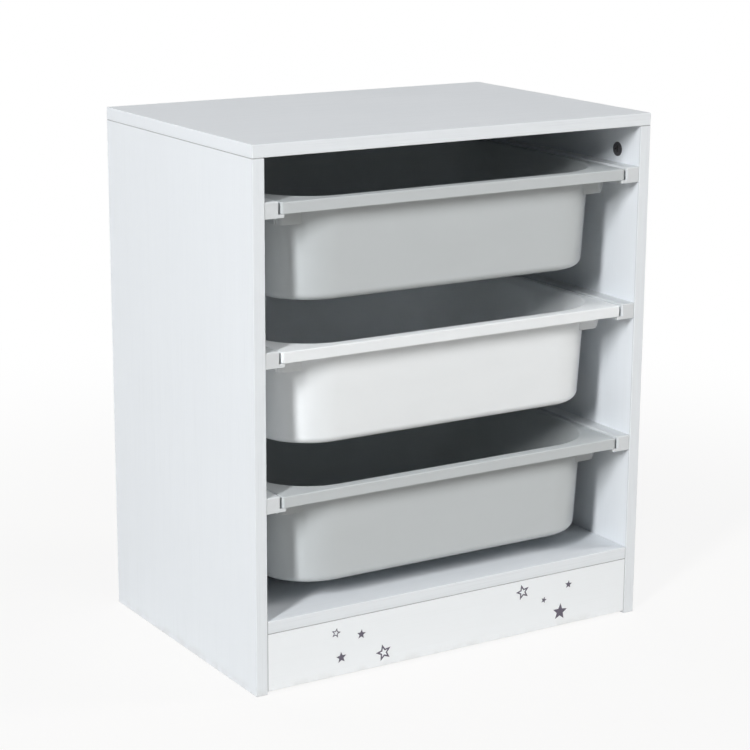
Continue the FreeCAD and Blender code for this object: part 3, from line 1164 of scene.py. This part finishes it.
@dataclass
class Cabinet:
    """The boards and their fittings, whose CAD shapes stay and get their finishes."""

    nodes: dict[str, bpy.types.Object]
    plinth_white: Colour = (0.91, 0.94, 0.965)
    plinth_grain_shade: float = 0.02
    runner_white: Colour = (0.695, 0.722, 0.740)
    runner_rubbed: Colour = (0.80, 0.82, 0.83)
    runner_roughness: float = 0.34

    def dress(self, node: str, material: bpy.types.Material) -> None:
        """Give a CAD node its finish.

        Args:
            node: the node's name.
            material: its finish.
        """
        slots = self.nodes[node].data.materials
        slots.clear()
        slots.append(material)
        log.info("dressed %s in %s", node, material.name)

    def board(self, node: str, grain: Axis, seed: float, **changes: object) -> None:
        """Dress one melamine board.

        Args:
            node: the node's name.
            grain: the direction of its grain.
            seed: what sets its pattern apart from the other boards'.
            changes: the fields of the finish that differ from the usual ones.
        """
        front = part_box(node)[0].y
        self.dress(node, Melamine(node + "_melamine", grain, front, seed=seed, **changes).material())

    def build(self) -> None:
        """Dress every board and fitting."""
        self.board("top_panel", Axis.X, seed=1.3)
        low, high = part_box("right_side_panel")
        meets_top = ((Axis.Z, high.z),)
        self.board("left_side_panel", Axis.Z, seed=4.1, inner_x=low.x, joints=meets_top)
        self.board("right_side_panel", Axis.Z, seed=7.7, inner_x=low.x, joints=meets_top)
        low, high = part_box("bottom_shelf")
        ends = ((Axis.X, low.x), (Axis.X, high.x))
        self.board("bottom_shelf", Axis.X, seed=11.2, joints=ends)
        meets_shelf = ((Axis.Z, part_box("plinth_panel")[1].z),)
        smooth = dict(face=self.plinth_white, band=self.plinth_white, grain_shade=self.plinth_grain_shade)
        self.board("plinth_panel", Axis.X, seed=15.9, joints=ends + meets_shelf, **smooth)
        low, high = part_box("back_panel")
        self.dress("back_panel", Hardboard("back_hardboard", (low.y + high.y) / 2).material())
        self.dress("cam_locks", CastMetal("cam_die_cast").material())
        steel = ZincSteel("zinc_steel").material()
        for node in ("cam_bolts", "back_nails", "runner_screws"):
            self.dress(node, steel)
        self.dress("dowels", Beech("beech").material())
        runner = MouldedPlastic("runner_plastic", self.runner_white, self.runner_rubbed,
                                roughness=self.runner_roughness, seed=3.0).material()
        for node in sorted(self.nodes):
            if node.startswith("runner_") and node != "runner_screws":
                self.dress(node, runner)


# Studio


@dataclass(frozen=True)
class Lamp:
    """A soft box that points at the cabinet.

    A face that it meets squarely shows its own colour times the level.
    """

    name: str
    azimuth: float
    elevation: float
    width: float
    height: float
    level: float
    colour: Colour = (1.0, 1.0, 1.0)
    distance: float = 6.0

    def build(self, target: Vector) -> None:
        """Hang the lamp.

        Args:
            target: the point that it shines at.
        """
        azimuth, elevation = math.radians(self.azimuth), math.radians(self.elevation)
        back = Vector((math.sin(azimuth) * math.cos(elevation), -math.cos(azimuth) * math.cos(elevation),
                       math.sin(elevation)))
        data = bpy.data.lights.new(self.name, "AREA")
        data.shape = "RECTANGLE"
        data.size, data.size_y = self.width, self.height
        data.energy = self.level * (math.pi * self.distance) ** 2
        data.color = self.colour
        made = bpy.data.objects.new(self.name, data)
        made.location = target + back * self.distance
        made.rotation_euler = back.to_track_quat("Z", "Y").to_euler()
        bpy.context.scene.collection.objects.link(made)
        log.info("hung %s", self.name)


@dataclass
class Studio:
    """The floor, the light and the camera."""

    target: Vector
    camera_place: Vector = Vector((-1.1637, -1.8700, 0.8186))
    camera_azimuth: float = 31.865
    camera_elevation: float = 14.292
    camera_roll: float = 0.331
    lens: float = 104.0
    sensor: float = 36.0
    clip: tuple[float, float] = (0.05, 60.0)
    floor_reach: float = 12.0
    floor_cells: int = 8
    ambient: float = 0.02
    lamps: tuple[Lamp, ...] = (
        Lamp("key_strip_box", -58.5, 28.0, 0.60, 2.40, 0.88, (0.985, 0.993, 1.0)),
        Lamp("right_fill", 65.0, 20.0, 1.50, 1.50, 0.53, (1.0, 0.98, 0.96)),
        Lamp("left_fill", -85.0, 12.0, 1.60, 1.60, 0.03, (0.98, 0.99, 1.0)),
        Lamp("overhead_box", -20.0, 78.0, 1.20, 1.20, 0.04),
        Lamp("back_fill", -176.0, 14.0, 1.60, 1.60, 0.28),
    )

    def floor(self) -> None:
        """Lay the floor."""
        mesh = bmesh.new()
        bmesh.ops.create_grid(mesh, x_segments=self.floor_cells, y_segments=self.floor_cells,
                              size=self.floor_reach)
        made = finished("floor", mesh, PaleFloor("pale_floor").material(), False)

    def world(self) -> None:
        """Give the world an even light, and show it white to the camera and in reflections."""
        graph = Graph.world("studio")
        strength = graph.seen() * (1 - self.ambient) + self.ambient
        light = graph.node("ShaderNodeBackground", inputs={"Color": WHITE_LIGHT, "Strength": strength})
        bpy.context.scene.world = graph.close(light)

    def camera(self) -> None:
        """Set up the camera at the photograph's viewing angle."""
        azimuth = math.radians(self.camera_azimuth)
        elevation = math.radians(self.camera_elevation)
        roll = math.radians(self.camera_roll)
        forward = Vector((math.sin(azimuth) * math.cos(elevation), math.cos(azimuth) * math.cos(elevation),
                          -math.sin(elevation)))
        right = Vector((math.cos(azimuth), -math.sin(azimuth), 0.0))
        up = right.cross(forward)
        across = right * math.cos(roll) + up * math.sin(roll)
        above = up * math.cos(roll) - right * math.sin(roll)
        data = bpy.data.cameras.new("camera")
        data.lens = self.lens
        data.sensor_width = self.sensor
        data.clip_start, data.clip_end = self.clip
        made = bpy.data.objects.new("camera", data)
        turned = Matrix((across, above, -forward)).transposed().to_4x4()
        made.matrix_world = Matrix.Translation(self.camera_place) @ turned
        bpy.context.scene.collection.objects.link(made)
        bpy.context.scene.camera = made

    def build(self) -> None:
        """Build the studio round the target."""
        self.floor()
        self.world()
        for lamp in self.lamps:
            lamp.build(self.target)
        self.camera()
        bpy.context.scene.view_settings.view_transform = "Standard"


# The whole unit


LAMP_TARGET = (0.0, 0.0, 0.27)
TINTS = {
    "grey_plastic": dict(colour=(0.548, 0.578, 0.590), rubbed=(0.67, 0.70, 0.71)),
    "white_plastic": dict(colour=(0.890, 0.922, 0.945), rubbed=(0.94, 0.95, 0.96), cloudy_share=0.30),
}
BINS = (("bottom", "grey_plastic", 2.0), ("middle", "white_plastic", 5.0), ("top", "grey_plastic", 9.0))


def corners(bounds: tuple[Vector, Vector]) -> list[list[float]]:
    """The two corners of a box as plain lists."""
    return [list(corner) for corner in bounds]


def main() -> None:
    """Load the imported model, dress it, and set up the studio."""
    logging.basicConfig(level=logging.INFO, format="%(name)s: %(message)s")
    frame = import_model()
    Studio(target=Vector(LAMP_TARGET)).build()
    Cabinet(frame["nodes"]).build()
    for level, slot, seed in BINS:
        StorageBin(level, slot, MouldedPlastic(f"{slot}_{level}", seed=seed, **TINTS[slot])).build()
    PlinthStars().build()


if __name__ == "__main__":
    main()
